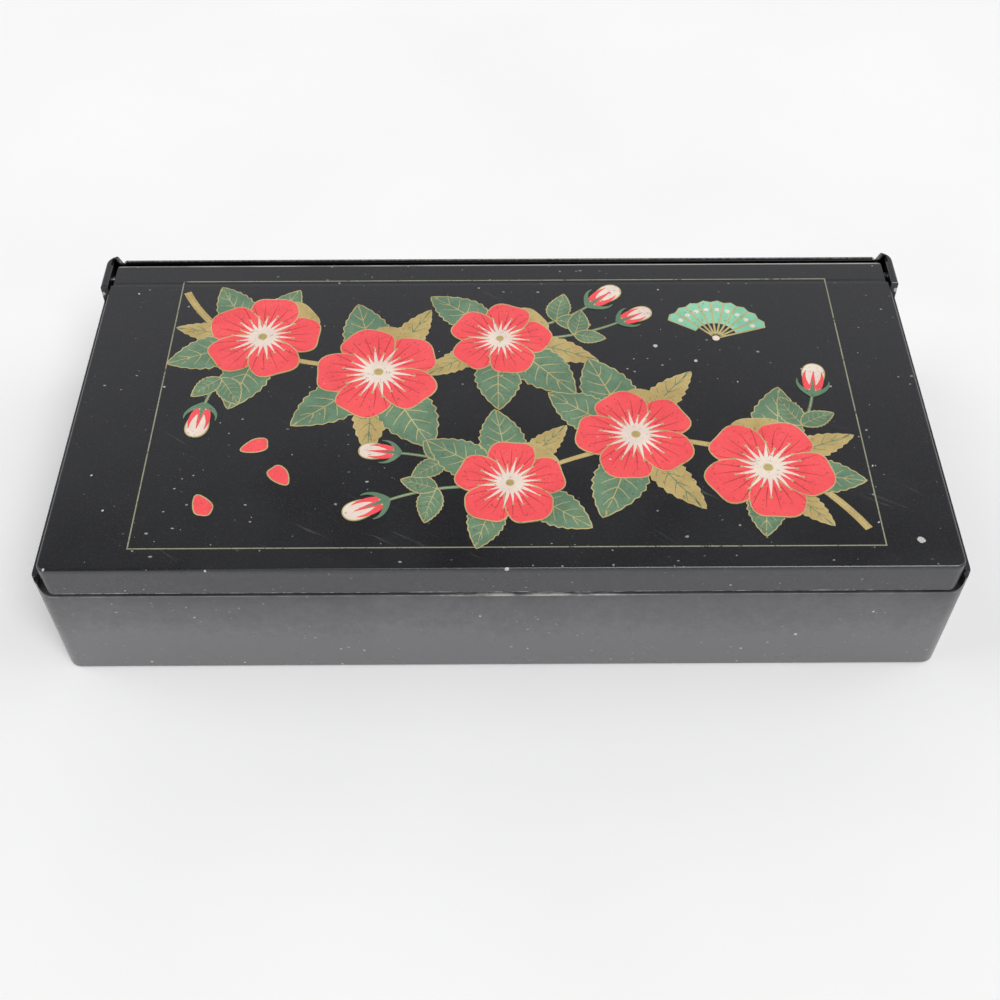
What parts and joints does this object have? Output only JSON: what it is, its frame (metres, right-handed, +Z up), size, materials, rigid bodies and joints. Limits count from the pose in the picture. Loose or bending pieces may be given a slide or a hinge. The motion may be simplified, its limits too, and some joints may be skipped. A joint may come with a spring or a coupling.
{
  "type": "travel jewelry box",
  "caption": "Flat black moulded case with a hinged skirted lid, a mirror inside the lid, velvet-lined compartments and ring rolls.",
  "frame": {"origin": "on the table, under the centre of the case's footprint", "axes": "+X to the right along the length, +Y to the hinge, +Z up"},
  "size_m": [0.195, 0.0984, 0.0368],
  "materials": {
    "black_case": "black moulded plastic, satin gloss, worn and scuffed",
    "black_lid": "black moulded plastic, satin gloss, worn and scuffed",
    "steel": "drawn steel wire pin",
    "velvet": "red flocked velvet over card",
    "grey_card": "grey greyboard",
    "foam": "white adhesive foam",
    "mirror_glass": "silvered float glass"
  },
  "bodies": {
    "case": {"base_shell": "black_case", "hinge_pin_left": "steel", "hinge_pin_right": "steel", "floor_lining": "velvet", "lining_front": "velvet", "lining_rear": "velvet", "lining_left": "velvet", "lining_right": "velvet", "divider_ring_bay": "velvet", "divider_long": "velvet", "divider_rear": "velvet", "ring_roll_board": "grey_card", "ring_roll_1": "velvet", "ring_roll_2": "velvet", "ring_roll_3": "velvet", "ring_roll_4": "velvet", "ring_roll_5": "velvet", "ring_roll_6": "velvet", "ring_roll_7": "velvet"},
    "lid": {"lid_shell": "black_lid", "mirror": "mirror_glass", "mirror_pad": "foam", "mirror_spacer": "grey_card", "mirror_surround": "velvet"}
  },
  "joints": [
    {"name": "lid_hinge", "type": "hinge", "parent": "case", "child": "lid", "pos_m": [0, 0.044, 0.0334], "axis": [-1, 0, 0], "range_deg": [0, 105]}
  ]
}
